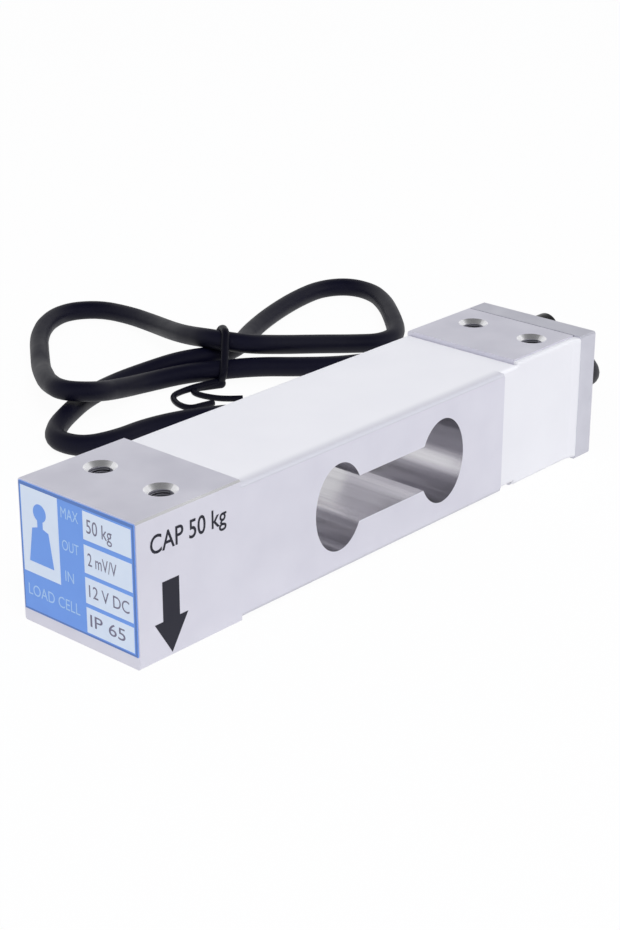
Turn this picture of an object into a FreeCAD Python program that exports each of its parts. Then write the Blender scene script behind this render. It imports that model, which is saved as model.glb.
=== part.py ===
"""Single-point weighing load cell with its cable tied in a loose hank.

An aluminium beam with a binocular cut-out bends under load. Four strain gauges on the thin
webs over its bores measure the bending, and a screened cable carries the signal away.

Millimetres, +Z up. X runs along the beam towards the cable end and Y across it. The origin
is the middle of the cable end's pair of mounting holes, on the underside.
"""
import FreeCAD, Part
import math
import os

# Beam
BEAM_LENGTH = 143.9
BEAM_WIDTH = 33.5
BEAM_HEIGHT = 31.0
EDGE_BREAK = 0.4
LIVE_PAD_LENGTH = 28.2
FIXED_PAD_LENGTH = 23.3
RELIEF_DEPTH = 1.8

# Binocular cut-out
BORE_WIDTH = 14.9
BORE_HEIGHT = 19.8
BORE_PITCH = 34.3
SLOT_HEIGHT = 10.4

# Tapped mounting holes, a pair across each pad, drilled right through
HOLE_ROWS = 121.0
HOLE_ROW_TO_END = 8.4
HOLE_SPACING = 17.2
TAP_DRILL_D = 5.0
HOLE_MOUTH_D = 7.0

# Wiring side: the front of the fixed end is milled back and holds a pocket for the bridge
STEP_LENGTH = 29.5
STEP_DEPTH = 2.2
SEAL_THICKNESS = 1.2
SEAL_MARGIN = 0.4
POCKET_LENGTH = 16.6
POCKET_HEIGHT = 9.0
POCKET_DEPTH = 4.0
POCKET_END_WALL = 0.8
WIRE_BORE_D = 7.0
WIRE_BORE_END = 3.0
CROSS_BORE_D = 5.0
CROSS_BORE_EDGE = 0.3

# Strain gauges, their flexible ribbons and the soft covers over them
GAUGE_LENGTH = 9.0
GAUGE_WIDTH = 6.0
GAUGE_THICKNESS = 0.15
RIBBON_WIDTH = 2.2
RIBBON_THICKNESS = 0.15
RIBBON_EDGE_GAP = 0.3
RIBBON_OFFSET = 3.5
RIBBON_LANDING = 1.7
COVER_THICKNESS = 0.8
COVER_INSET = 0.25

# Bridge board
BOARD_HEIGHT = 8.0
BOARD_THICKNESS = 1.0
BOARD_END_GAP = 0.3
RESISTOR_SIZE = (2.0, 0.6, 1.25)
RESISTOR_PITCH = 2.8
RESISTOR_COUNT = 3
TERMINAL_SIZE = (1.2, 0.25, 0.9)
TERMINAL_EDGE = 0.4
INNER_CORE_D = 1.0
INNER_CORE_PITCH = 1.2
INNER_CORE_BEND = 2.0
CORE_COUNT = 4

# End plate, its gasket and its two socket-head screws
GASKET_THICKNESS = 0.3
GASKET_INSET = 0.5
PLATE_THICKNESS = 5.8
SCREW_D = 4.0
SCREW_LENGTH = 12.0
SCREW_INSET = 3.6
SCREW_HEAD_D = 7.0
SCREW_HEAD_HEIGHT = 4.0
SCREW_HEAD_BREAK = 0.4
SCREW_SOCKET = 3.0
SCREW_SOCKET_DEPTH = 2.0
SCREW_TIP_ROOM = 0.8
THREAD_FIT = 0.05
CLEARANCE = 0.2

# Cable gland
GLAND_THREAD_D = 12.0
GLAND_WASHER_D = 14.0
GLAND_WASHER_THICKNESS = 0.8
GLAND_FLATS = 13.0
GLAND_HEX_LENGTH = 3.6
GLAND_NOSE_D = 10.4
GLAND_NOSE_LENGTH = 4.0
GLAND_SEAT_DEPTH = 3.0
GLAND_SEAT_WALL = 1.1
GROMMET_PROUD = 0.8
NUT_LENGTH = 6.9
NUT_FLATS = 13.0
NUT_DOME = 2.2
NUT_MOUTH_FLARE = 0.6

# Cable, its cores and the tie round its hank
CABLE_D = 5.2
JACKET_START = 3.5
EXIT_RUN = 10.5
ARC_SHARE = 0.45
CABLE_SIDES = 8
STRAND_SIDES = 6
CORE_D = 1.2
DRAIN_D = 0.7
CORE_TIP_D = 0.7
CORE_TIP_LENGTH = 5.0
CORE_LEAD = 3.0
TIE_WIDTH = 2.6
TIE_THICKNESS = 0.8
TIE_GAP = 0.3
TIE_TAIL_D = 1.6
TIE_CENTRE = (-8.0, 86.5)
TIE_HEADING_DEG = 146.0

# Rating label on the live end
LABEL_THICKNESS = 0.2
LABEL_SIDE_GAP = 0.4
LABEL_TOP_GAP = 0.4
LABEL_FOOT_GAP = 2.8

# The cable's route past its exit, chosen by hand: down to the floor behind the beam, three
# times through the tie with a loop at each side, then back behind the beam to its free end
HANK_ROUTE = [
    (36.5, 0.6, 13.4), (43, 2.6, 7.8), (48, 8.5, 4), (52, 18.5, 2.9), (53.5, 30, 2.7),
    (47, 45.3, 2.7), (37, 53.5, 2.7), (26, 60, 2.7), (14.5, 65.5, 3.2), (5, 71, 3.7),
    (-2.5, 77.5, 4), (-11.5, 82.8, 3.8), (-22, 87, 3.2), (-33.5, 88.3, 3.6), (-44, 86.8, 6.4),
    (-52, 86.2, 8.3), (-57.5, 93, 8.6), (-53, 103.5, 7), (-46.5, 112.5, 4.8),
    (-40, 121.5, 2.9), (-32.2, 131, 2.7), (-23, 142, 2.7), (-12.5, 150.5, 2.7),
    (-2.5, 153.5, 2.7), (5.5, 148, 2.7), (7, 137, 2.9), (4, 124, 4), (-1.5, 111, 6.2),
    (-7, 99, 9), (-9, 88.5, 11.4), (-3.5, 81, 10.5), (6.5, 77, 7.9), (18, 75.5, 5.2), (29, 74, 3.1),
    (38.5, 70, 2.7), (48.5, 72.5, 2.7), (57.5, 81, 2.7), (65.5, 90.5, 2.7), (71, 100, 2.7),
    (70.5, 109, 2.7), (63, 113.5, 2.7), (52, 112.3, 2.7), (40, 109.2, 2.7), (27.5, 104.8, 2.7),
    (15.5, 98.6, 3.4), (4.5, 90.8, 5), (-6.5, 88, 5.9), (-16.5, 92.3, 4.9), (-26, 97, 3.2),
    (-36.5, 99, 2.7), (-46.5, 96.5, 2.7), (-56, 92, 2.7), (-65, 87, 2.7), (-71.5, 80.5, 2.7),
    (-70, 72, 2.7), (-61.5, 69.3, 2.7), (-51, 69.5, 2.7), (-40, 66.5, 2.7), (-29.5, 60.5, 2.7),
    (-20.5, 53, 2.7),
]
# Strand centres inside the tie, along its level axis and up; the slanting one counts twice
TIE_STRANDS = [(-5.1, 3.8), (4.3, 5.7), (3.5, 11.1), (0.1, 11.1)]
TIE_TAILS = [
    [(-13.4, 79.6, 2.4), (-18.6, 82, 2.2), (-24, 83.8, 1.4), (-28.8, 81.6, 0.9),
     (-31, 77, 0.9), (-29.5, 72.8, 0.9)],
    [(-12.4, 78.8, 1.2), (-16.6, 80.6, 0.9), (-20.4, 80.4, 0.9), (-22, 77.6, 0.9),
     (-21.2, 74, 0.9), (-18.5, 71, 0.9)],
]
# Each core past the jacket's end: its seat there (sideways, up), its spread and its reach
FREE_CORES = {
    "core_red": (-1.3, 0.6, -9.0, 24.0),
    "core_black": (-0.75, -1.1, -4.4, 26.0),
    "core_green": (0.75, -1.1, 4.2, 25.0),
    "core_white": (1.3, 0.6, 8.8, 23.0),
}
DRAIN_SEAT = (0.0, 0.3, 0.3, 22.0)
FAN_STATIONS = (0.35, 0.7, 1.0)
FAN_SHARES = (0.34, 0.66, 1.0)

# Levels and stations worked out from the sizes above
X_END = HOLE_ROW_TO_END
X_LIVE = X_END - BEAM_LENGTH
X_LIVE_PAD = X_LIVE + LIVE_PAD_LENGTH
X_FIXED_PAD = X_END - FIXED_PAD_LENGTH
X_BRIDGE = -HOLE_ROWS / 2
X_STEP = X_END - STEP_LENGTH
X_PLATE = X_END + GASKET_THICKNESS
X_FACE = X_PLATE + PLATE_THICKNESS
X_POCKET_END = -TAP_DRILL_D / 2 - POCKET_END_WALL
X_POCKET = X_POCKET_END - POCKET_LENGTH
X_CROSS = X_POCKET_END - CROSS_BORE_EDGE - CROSS_BORE_D / 2
X_BOARD_END = X_CROSS - CROSS_BORE_D / 2 - BOARD_END_GAP
X_BOARD = X_POCKET + BOARD_END_GAP
X_JACKET = X_FACE + JACKET_START
Y_FRONT = -BEAM_WIDTH / 2
Y_BACK = BEAM_WIDTH / 2
Y_STEP = Y_FRONT + STEP_DEPTH
Y_POCKET = Y_STEP + POCKET_DEPTH
Y_BOARD = Y_POCKET - BOARD_THICKNESS
Z_AXIS = BEAM_HEIGHT / 2
Z_WEB_TOP = BEAM_HEIGHT - RELIEF_DEPTH
Z_POCKET_TOP = Z_AXIS + POCKET_HEIGHT / 2
SCREW_LEVELS = (BEAM_HEIGHT - SCREW_INSET, SCREW_INSET)


def vec(x, y, z):
    return FreeCAD.Vector(x, y, z)


def block(x0, x1, y0, y1, z0, z1):
    return Part.makeBox(x1 - x0, y1 - y0, z1 - z0, vec(x0, y0, z0))


def bar_x(diameter, x0, x1, z):
    """A round bar along X on the beam's middle plane."""
    return Part.makeCylinder(diameter / 2, x1 - x0, vec(x0, 0, z), vec(1, 0, 0))


def turned_x(profile, z):
    """A solid turned about X from (x, radius) corners."""
    corners = [vec(x, 0, z + radius) for x, radius in profile]
    face = Part.Face(Part.makePolygon(corners + corners[:1]))
    return face.revolve(vec(0, 0, z), vec(1, 0, 0), 360)


def hexagon_x(flats, x0, x1, z):
    """A hexagonal bar along X with flats above and below."""
    corner = flats / math.sqrt(3)
    turns = [math.radians(60 * k) for k in range(6)]
    ring = [vec(x0, corner * math.cos(a), z + corner * math.sin(a)) for a in turns]
    return Part.Face(Part.makePolygon(ring + ring[:1])).extrude(vec(x1 - x0, 0, 0))


def upside_down(shape):
    """The shape's twin on the underside of the beam."""
    return shape.mirror(vec(0, 0, Z_AXIS), vec(0, 0, 1))


def rounded_path(points, bend=None):
    """Straight runs joined by tangent arcs, each as large as its runs allow or of one bend."""
    corners = [vec(*p) for p in points]
    edges = []
    radii = []
    start = corners[0]
    for before, corner, after in zip(corners, corners[1:], corners[2:]):
        back = (before - corner).normalize()
        on = (after - corner).normalize()
        half_turn = (math.pi - back.getAngle(on)) / 2
        shorter = min((before - corner).Length, (after - corner).Length)
        radius = bend or ARC_SHARE * shorter / math.tan(half_turn)
        setback = radius * math.tan(half_turn)
        inward = (back + on).normalize()
        arc_start = corner + back * setback
        arc_end = corner + on * setback
        middle = corner + inward * (radius / math.cos(half_turn) - radius)
        edges.append(Part.LineSegment(start, arc_start).toShape())
        edges.append(Part.Arc(arc_start, middle, arc_end).toShape())
        radii.append(radius)
        start = arc_end
    edges.append(Part.LineSegment(start, corners[-1]).toShape())
    return Part.Wire(edges), radii


def tube(points, across, sides, bend=None):
    """A cord along a rounded path, with a many-sided section that keeps its faces few."""
    path, radii = rounded_path(points, bend)
    first = vec(*points[0])
    ahead = (vec(*points[1]) - first).normalize()
    level = ahead.cross(vec(0, 0, 1)).normalize()
    upright = level.cross(ahead)
    turns = [2 * math.pi * k / sides for k in range(sides)]
    ring = [first + (level * math.cos(a) + upright * math.sin(a)) * (across / 2) for a in turns]
    return path.makePipeShell([Part.makePolygon(ring + ring[:1])], True, False), path, radii


def strand(points, across, bend=None):
    """A thin wire along a rounded path."""
    return tube(points, across, STRAND_SIDES, bend)[0]


def end_outline(x):
    """The beam's end view: a rectangle with broken corners."""
    steps = [(-1, -1), (1, -1), (1, 1), (-1, 1)]
    ring = []
    for k, (sy, sz) in enumerate(steps):
        y = sy * BEAM_WIDTH / 2
        z = Z_AXIS + sz * BEAM_HEIGHT / 2
        along_z = vec(x, y, z - sz * EDGE_BREAK)
        along_y = vec(x, y - sy * EDGE_BREAK, z)
        ring += [along_z, along_y] if k % 2 == 0 else [along_y, along_z]
    return Part.makePolygon(ring + ring[:1])


def end_slab(x, thickness):
    return Part.Face(end_outline(x)).extrude(vec(thickness, 0, 0))


def binocular():
    """Two upright oval bores and the slot between them, cut right through."""
    across = vec(0, BEAM_WIDTH, 0)
    half_slot = SLOT_HEIGHT / 2
    centres = [X_BRIDGE - BORE_PITCH / 2, X_BRIDGE + BORE_PITCH / 2]
    bores = []
    for x in centres:
        middle = vec(x, Y_FRONT, Z_AXIS)
        oval = Part.Ellipse(middle + vec(0, 0, BORE_HEIGHT / 2), middle + vec(BORE_WIDTH / 2, 0, 0), middle)
        bores.append(Part.Face(Part.Wire(oval.toShape())).extrude(across))
    slot = block(*centres, Y_FRONT, Y_BACK, Z_AXIS - half_slot, Z_AXIS + half_slot)
    return slot.fuse(bores)


def tapped_hole(x, y):
    """A hole drilled right through, countersunk at both mouths."""
    mouth = HOLE_MOUTH_D / 2
    drill = TAP_DRILL_D / 2
    sink = mouth - drill
    profile = [
        (0, 0), (mouth, 0), (drill, sink),
        (drill, BEAM_HEIGHT - sink), (mouth, BEAM_HEIGHT), (0, BEAM_HEIGHT),
    ]
    corners = [vec(x + radius, y, z) for radius, z in profile]
    face = Part.Face(Part.makePolygon(corners + corners[:1]))
    return face.revolve(vec(x, y, 0), vec(0, 0, 1), 360)


def wiring_pocket():
    return block(X_POCKET, X_POCKET_END, Y_STEP, Y_POCKET, Z_AXIS - POCKET_HEIGHT / 2, Z_POCKET_TOP)


def web_relief():
    """What is milled off between the pads, on the upper side."""
    return block(X_LIVE_PAD, X_FIXED_PAD, Y_FRONT, Y_BACK, Z_WEB_TOP, BEAM_HEIGHT)


def beam_body():
    holes = [
        tapped_hole(x, side * HOLE_SPACING / 2)
        for x in (0.0, -HOLE_ROWS)
        for side in (-1, 1)
    ]
    screw_reach = SCREW_LENGTH - PLATE_THICKNESS - GASKET_THICKNESS + SCREW_TIP_ROOM
    screw_holes = [bar_x(SCREW_D + 2 * THREAD_FIT, X_END - screw_reach, X_END, z) for z in SCREW_LEVELS]
    cross_bore = Part.makeCylinder(
        CROSS_BORE_D / 2, -Y_POCKET, vec(X_CROSS, Y_POCKET, Z_AXIS), vec(0, 1, 0)
    )
    cuts = [
        web_relief(),
        upside_down(web_relief()),
        block(X_STEP, X_END, Y_FRONT, Y_STEP, 0, BEAM_HEIGHT),
        wiring_pocket(),
        binocular(),
        bar_x(WIRE_BORE_D, X_CROSS - WIRE_BORE_END, X_END, Z_AXIS),
        cross_bore,
    ]
    return end_slab(X_LIVE, BEAM_LENGTH).cut(cuts + holes + screw_holes)


def strain_gauge(side):
    """One foil gauge on the upper web, over the bore at the live (-1) or fixed (1) side."""
    x = X_BRIDGE + side * BORE_PITCH / 2
    half_length = GAUGE_LENGTH / 2
    half_width = GAUGE_WIDTH / 2
    top = Z_WEB_TOP + GAUGE_THICKNESS
    return block(x - half_length, x + half_length, -half_width, half_width, Z_WEB_TOP, top)


def gauge_ribbon():
    """A flat ribbon beside the upper gauges, folded over the step and into the pocket."""
    t = RIBBON_THICKNESS
    top = Z_WEB_TOP + t
    y_near = -GAUGE_WIDTH / 2 - RIBBON_OFFSET
    y_far = y_near - RIBBON_WIDTH
    x_fold = max(X_STEP, X_POCKET) + RIBBON_EDGE_GAP
    x_fold_end = x_fold + RIBBON_WIDTH
    landing = Z_POCKET_TOP - RIBBON_LANDING
    fold = [
        (y_near, Z_WEB_TOP), (Y_STEP, Z_WEB_TOP), (Y_STEP, Z_POCKET_TOP), (Y_BOARD, Z_POCKET_TOP),
        (Y_BOARD, landing), (Y_BOARD - t, landing), (Y_BOARD - t, Z_POCKET_TOP - t),
        (Y_STEP - t, Z_POCKET_TOP - t), (Y_STEP - t, top), (y_near, top),
    ]
    corners = [vec(x_fold, y, z) for y, z in fold]
    folded = Part.Face(Part.makePolygon(corners + corners[:1])).extrude(vec(RIBBON_WIDTH, 0, 0))
    gauges = [X_BRIDGE + side * BORE_PITCH / 2 for side in (-1, 1)]
    half = RIBBON_WIDTH / 2
    strip = block(gauges[0] - half, x_fold_end, y_far, y_near, Z_WEB_TOP, top)
    tabs = [block(x - half, x + half, y_near, -GAUGE_WIDTH / 2, Z_WEB_TOP, top) for x in gauges]
    return folded.fuse([strip] + tabs).removeSplitter()


def gauge_cover():
    """The soft white cover between the pads, over the upper gauges, their ribbon and the seal's edge."""
    z1 = Z_WEB_TOP + COVER_THICKNESS
    sheet = block(X_LIVE_PAD, X_FIXED_PAD, Y_FRONT + COVER_INSET, Y_BACK - COVER_INSET, Z_WEB_TOP, z1)
    open_front = block(X_STEP, X_END, Y_FRONT, Y_STEP - SEAL_THICKNESS, Z_WEB_TOP, z1)
    return sheet.cut([open_front, strain_gauge(-1), strain_gauge(1), gauge_ribbon()])


def pocket_seal():
    """The white sealing skin over the milled-back front of the fixed end, up to the end plate."""
    skin = block(
        X_STEP, X_PLATE, Y_STEP - SEAL_THICKNESS, Y_STEP, SEAL_MARGIN, BEAM_HEIGHT - SEAL_MARGIN
    )
    upper = [web_relief(), gauge_ribbon()]
    return skin.cut(upper + [upside_down(shape) for shape in upper])


def bridge_board():
    half = BOARD_HEIGHT / 2
    return block(X_BOARD, X_BOARD_END, Y_BOARD, Y_POCKET, Z_AXIS - half, Z_AXIS + half)


def trim_resistors():
    """Chip resistors in a row on the board, short of its solder pads."""
    length, proud, height = RESISTOR_SIZE
    middle = (X_BOARD + X_BOARD_END - TERMINAL_EDGE - TERMINAL_SIZE[0]) / 2
    chips = []
    for k in range(RESISTOR_COUNT):
        x = middle + (k - (RESISTOR_COUNT - 1) / 2) * RESISTOR_PITCH
        chips.append(block(x - length / 2, x + length / 2, Y_BOARD - proud, Y_BOARD,
                           Z_AXIS - height / 2, Z_AXIS + height / 2))
    return Part.makeCompound(chips)


def core_levels():
    return [Z_AXIS + (k - (CORE_COUNT - 1) / 2) * INNER_CORE_PITCH for k in range(CORE_COUNT)]


def solder_terminals():
    """One solder pad for each core at the board's cable end."""
    length, proud, height = TERMINAL_SIZE
    x1 = X_BOARD_END - TERMINAL_EDGE
    return Part.makeCompound([
        block(x1 - length, x1, Y_BOARD - proud, Y_BOARD, z - height / 2, z + height / 2)
        for z in core_levels()
    ])


def inner_cores():
    """The cable's cores from the jacket, through the beam's bores, to the solder pads."""
    length, proud, _ = TERMINAL_SIZE
    y_pad = Y_BOARD - proud - INNER_CORE_D / 2
    x_pad = X_BOARD_END - TERMINAL_EDGE - length
    cores = []
    for z in core_levels():
        route = [(X_JACKET, 0, z), (X_CROSS, 0, z), (X_CROSS, y_pad, z), (x_pad, y_pad, z)]
        cores.append(strand(route, INNER_CORE_D, INNER_CORE_BEND))
    return Part.makeCompound(cores)


def end_gasket():
    """A thin sheet between the beam's end and the plate, set in from their edges."""
    z1 = BEAM_HEIGHT - GASKET_INSET
    sheet = block(X_END, X_PLATE, Y_STEP + GASKET_INSET, Y_BACK - GASKET_INSET, GASKET_INSET, z1)
    holes = [bar_x(SCREW_D + 2 * CLEARANCE, X_END, X_PLATE, z) for z in SCREW_LEVELS]
    return sheet.cut(holes + [bar_x(WIRE_BORE_D, X_END, X_PLATE, Z_AXIS)])


def end_plate():
    holes = [bar_x(SCREW_D + 2 * CLEARANCE, X_PLATE, X_FACE, z) for z in SCREW_LEVELS]
    thread = bar_x(GLAND_THREAD_D + 2 * THREAD_FIT, X_PLATE, X_FACE, Z_AXIS)
    return end_slab(X_PLATE, PLATE_THICKNESS).cut(holes + [thread])


def end_plate_screw(z):
    """A socket-head screw through the plate into the beam."""
    head_end = X_FACE + SCREW_HEAD_HEIGHT
    head = SCREW_HEAD_D / 2
    shank = SCREW_D / 2
    tip = X_FACE - SCREW_LENGTH
    profile = [
        (tip, 0), (tip, shank), (X_FACE, shank), (X_FACE, head), (head_end - SCREW_HEAD_BREAK, head),
        (head_end, head - SCREW_HEAD_BREAK), (head_end, 0),
    ]
    return turned_x(profile, z).cut(hexagon_x(SCREW_SOCKET, head_end - SCREW_SOCKET_DEPTH, head_end, z))


def cable_gland():
    """Washer, body, rubber grommet and domed nut on the end plate, in that order."""
    bore = CABLE_D / 2 + CLEARANCE
    thread = GLAND_THREAD_D / 2
    nose = GLAND_NOSE_D / 2
    seat = nose - GLAND_SEAT_WALL
    x_hex = X_FACE + GLAND_WASHER_THICKNESS
    x_nose = x_hex + GLAND_HEX_LENGTH
    x_nose_end = x_nose + GLAND_NOSE_LENGTH
    x_seat = x_nose_end - GLAND_SEAT_DEPTH
    x_grommet_end = x_nose_end + GROMMET_PROUD
    x_nut = x_nose + CLEARANCE
    x_nut_end = x_nut + NUT_LENGTH

    washer = turned_x([
        (X_FACE, thread + THREAD_FIT), (x_hex, thread + THREAD_FIT),
        (x_hex, GLAND_WASHER_D / 2), (X_FACE, GLAND_WASHER_D / 2),
    ], Z_AXIS)
    stem = turned_x([
        (X_PLATE, bore), (X_PLATE, thread), (x_hex, thread), (x_hex, nose), (x_nose_end, nose),
        (x_nose_end, seat), (x_seat, seat), (x_seat, bore),
    ], Z_AXIS)
    collar = hexagon_x(GLAND_FLATS, x_hex, x_nose, Z_AXIS).cut(bar_x(2 * bore, x_hex, x_nose, Z_AXIS))
    body = stem.fuse(collar).removeSplitter()
    grommet = turned_x([
        (x_seat, CABLE_D / 2), (x_seat, seat - THREAD_FIT), (x_nose_end, seat - THREAD_FIT),
        (x_grommet_end, seat - GROMMET_PROUD), (x_grommet_end, CABLE_D / 2),
    ], Z_AXIS)

    corner = NUT_FLATS / math.sqrt(3)
    dome = turned_x([
        (x_nut, 0), (x_nut, corner), (x_nut_end - NUT_DOME, corner), (x_nut_end, corner - NUT_DOME),
        (x_nut_end, 0),
    ], Z_AXIS)
    throat = bore + CLEARANCE
    hollow = turned_x([
        (x_nut, 0), (x_nut, nose + THREAD_FIT), (x_nose_end + CLEARANCE, nose + THREAD_FIT),
        (x_nose_end + CLEARANCE, seat), (x_grommet_end + CLEARANCE, seat),
        (x_grommet_end + CLEARANCE, throat), (x_nut_end, throat + NUT_MOUTH_FLARE), (x_nut_end, 0),
    ], Z_AXIS)
    nut = hexagon_x(NUT_FLATS, x_nut, x_nut_end, Z_AXIS).common(dome).cut(hollow)
    return washer, body, grommet, nut


def cable_route():
    """The route with its exit, which runs straight out of the gland."""
    return [(X_JACKET, 0, Z_AXIS), (X_JACKET + EXIT_RUN, 0, Z_AXIS)] + HANK_ROUTE


def cable_tie():
    """A flat wire tie drawn round the three strands, with its two curled tails."""
    heading = math.radians(TIE_HEADING_DEG)
    through = vec(math.cos(heading), math.sin(heading), 0)
    level = vec(through.y, -through.x, 0)
    middle = vec(TIE_CENTRE[0], TIE_CENTRE[1], 0) - through * (TIE_WIDTH / 2)
    strands = [middle + level * along + vec(0, 0, up) for along, up in TIE_STRANDS]
    core = Part.makePolygon(strands + strands[:1])
    inner = CABLE_D / 2 + TIE_GAP
    hollow = Part.Face(core.makeOffset2D(inner)).extrude(through * TIE_WIDTH)
    band = Part.Face(core.makeOffset2D(inner + TIE_THICKNESS)).extrude(through * TIE_WIDTH)
    tails = [strand(points, TIE_TAIL_D) for points in TIE_TAILS]
    return band.fuse(tails).cut(hollow).removeSplitter()


def fanned_core(seat_side, seat_up, spread, reach):
    """The points of one core that leaves the jacket's end and fans out on the floor."""
    last = vec(*HANK_ROUTE[-1])
    ahead = (last - vec(*HANK_ROUTE[-2])).normalize()
    side = vec(-ahead.y, ahead.x, 0)
    seat = last + side * seat_side + vec(0, 0, seat_up)
    points = [seat, seat + ahead * CORE_LEAD]
    for station, share in zip(FAN_STATIONS, FAN_SHARES):
        spot = last + ahead * (station * reach) + side * (share * spread)
        points.append(vec(spot.x, spot.y, CORE_D / 2))
    return points


def free_core(seat, diameter):
    return strand(fanned_core(*seat), diameter)


def core_tips():
    """The tinned bare end of each core."""
    tips = []
    for seat in FREE_CORES.values():
        *_, before, end = fanned_core(*seat)
        heading = (end - before).normalize()
        tips.append(strand([end, end + heading * CORE_TIP_LENGTH], CORE_TIP_D))
    return Part.makeCompound(tips)


def rating_label():
    return block(
        X_LIVE - LABEL_THICKNESS, X_LIVE, Y_FRONT + LABEL_SIDE_GAP, Y_BACK - LABEL_SIDE_GAP,
        LABEL_FOOT_GAP, BEAM_HEIGHT - LABEL_TOP_GAP,
    )


def main():
    washer, gland, grommet, nut = cable_gland()
    cable, path, radii = tube(cable_route(), CABLE_D, CABLE_SIDES)
    pieces = {
        "beam_body": beam_body(),
        "top_gauge_cover": gauge_cover(),
        "bottom_gauge_cover": upside_down(gauge_cover()),
        "strain_gauge_top_live": strain_gauge(-1),
        "strain_gauge_top_fixed": strain_gauge(1),
        "strain_gauge_bottom_live": upside_down(strain_gauge(-1)),
        "strain_gauge_bottom_fixed": upside_down(strain_gauge(1)),
        "top_gauge_ribbon": gauge_ribbon(),
        "bottom_gauge_ribbon": upside_down(gauge_ribbon()),
        "bridge_board": bridge_board(),
        "trim_resistors": trim_resistors(),
        "solder_terminals": solder_terminals(),
        "inner_cores": inner_cores(),
        "pocket_seal": pocket_seal(),
        "end_gasket": end_gasket(),
        "end_plate": end_plate(),
        "end_plate_screws": Part.makeCompound([end_plate_screw(z) for z in SCREW_LEVELS]),
        "gland_washer": washer,
        "gland_body": gland,
        "gland_grommet": grommet,
        "gland_nut": nut,
        "cable": cable,
        "cable_tie": cable_tie(),
        "shield_drain": free_core(DRAIN_SEAT, DRAIN_D),
        "core_tips": core_tips(),
        "rating_label": rating_label(),
    }
    for name, seat in FREE_CORES.items():
        pieces[name] = free_core(seat, CORE_D)

    os.makedirs("parts", exist_ok=True)
    for name, shape in pieces.items():
        shape.exportStep("parts/%s.step" % name)
    section = CABLE_SIDES * (CABLE_D / 2) ** 2 * math.sin(2 * math.pi / CABLE_SIDES) / 2
    print("cable arc radii:", ", ".join("%.1f" % r for r in radii))
    print("cable length %.1f, volume over section times length %.4f" % (
        path.Length, cable.Volume / (section * path.Length)))


main()
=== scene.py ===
"""Looks of a single-point weighing load cell, with its cable tied in a loose hank.

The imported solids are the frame: X runs along the beam towards the cable end, Y to the back and Z up.
Blender works in metres; the sizes in the classes below are millimetres.
"""

import logging
import math
from dataclasses import dataclass, field
from enum import Enum
from typing import Any, Callable, Dict, List, Optional, Sequence, Tuple

import bmesh
import bpy
from mathutils import Euler, Matrix, Vector, noise


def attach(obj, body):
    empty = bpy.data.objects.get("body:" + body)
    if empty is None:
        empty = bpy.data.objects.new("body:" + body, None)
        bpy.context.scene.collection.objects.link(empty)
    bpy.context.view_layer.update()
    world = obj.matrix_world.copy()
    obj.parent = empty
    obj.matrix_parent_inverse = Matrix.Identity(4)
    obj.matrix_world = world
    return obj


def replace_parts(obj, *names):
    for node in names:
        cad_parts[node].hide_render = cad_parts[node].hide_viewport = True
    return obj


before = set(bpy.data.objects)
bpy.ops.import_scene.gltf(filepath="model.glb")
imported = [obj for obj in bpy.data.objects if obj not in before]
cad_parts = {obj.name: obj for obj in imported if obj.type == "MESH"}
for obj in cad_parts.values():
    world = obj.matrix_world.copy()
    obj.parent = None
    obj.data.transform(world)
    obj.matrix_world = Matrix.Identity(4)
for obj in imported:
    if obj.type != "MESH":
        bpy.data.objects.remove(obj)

MM = 0.001
BODY = "root"
LOG = logging.getLogger("load_cell")

# The beam's height, and its mounting holes' places along and across it, in millimetres
BEAM_HEIGHT = 31.0
HOLE_ROWS = (0.0, -121.0)
HOLE_SIDE = 8.6
# Points closer together than this, in metres, become one
SAME_SPOT = 1e-7
# Decimals of a millimetre that the skins' grid lines are rounded to
GRID_DIGITS = 4
# How finely a wire is divided along and round it, and a letter along its curves
WIRE_STEPS = 10
WIRE_ROUND = 7
LETTER_STEPS = 4
# Detail of the slow drift and of the fine marks, and the range that the drift mostly keeps to
DRIFT_DETAIL = 3.0
MARKS_DETAIL = 2.0
DRIFT_RANGE = (0.3, 0.7)

Point2 = Tuple[float, float]
Point3 = Tuple[float, float, float]
Span = Tuple[float, float]
Sides = Tuple[float, float, float, float]
Outline = Sequence[Point2]
Place = Callable[[float, float, float], Vector]
Tree = bpy.types.NodeTree
Node = bpy.types.Node
Socket = bpy.types.NodeSocket
Form = bmesh.types.BMesh
Corner = bmesh.types.BMVert


class Marks(Enum):
    """What the making of a surface leaves on it."""

    CUTTER = "fine straight lines left by a milling cutter"
    MOULD = "an even grain taken from a mould"
    DRAWN = "faint lengthwise unevenness from an extruder"
    CAST = "the slow waves of something poured"


class Blend(Enum):
    """What a Mix node mixes: its data type, the numbers of its two inputs and of its output."""

    COLOUR = ("RGBA", 6, 7, 2)
    NUMBER = ("FLOAT", 2, 3, 0)


MARK_STRETCH: Dict[Marks, Point3] = {
    Marks.CUTTER: (0.04, 1.0, 1.0),
    Marks.MOULD: (1.0, 1.0, 1.0),
    Marks.DRAWN: (1.0, 1.0, 1.0),
    Marks.CAST: (0.7, 1.0, 1.0),
}


def linear(code: str) -> Tuple[float, float, float, float]:
    """Turns an sRGB hex colour into linear light.

    Args:
        code: the colour as "#rrggbb".

    Returns:
        Linear red, green, blue and an alpha of 1.
    """
    shares = [int(code[k:k + 2], 16) / 255 for k in (1, 3, 5)]
    red, green, blue = [s / 12.92 if s <= 0.04045 else ((s + 0.055) / 1.055) ** 2.4 for s in shares]
    return red, green, blue, 1.0


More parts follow.
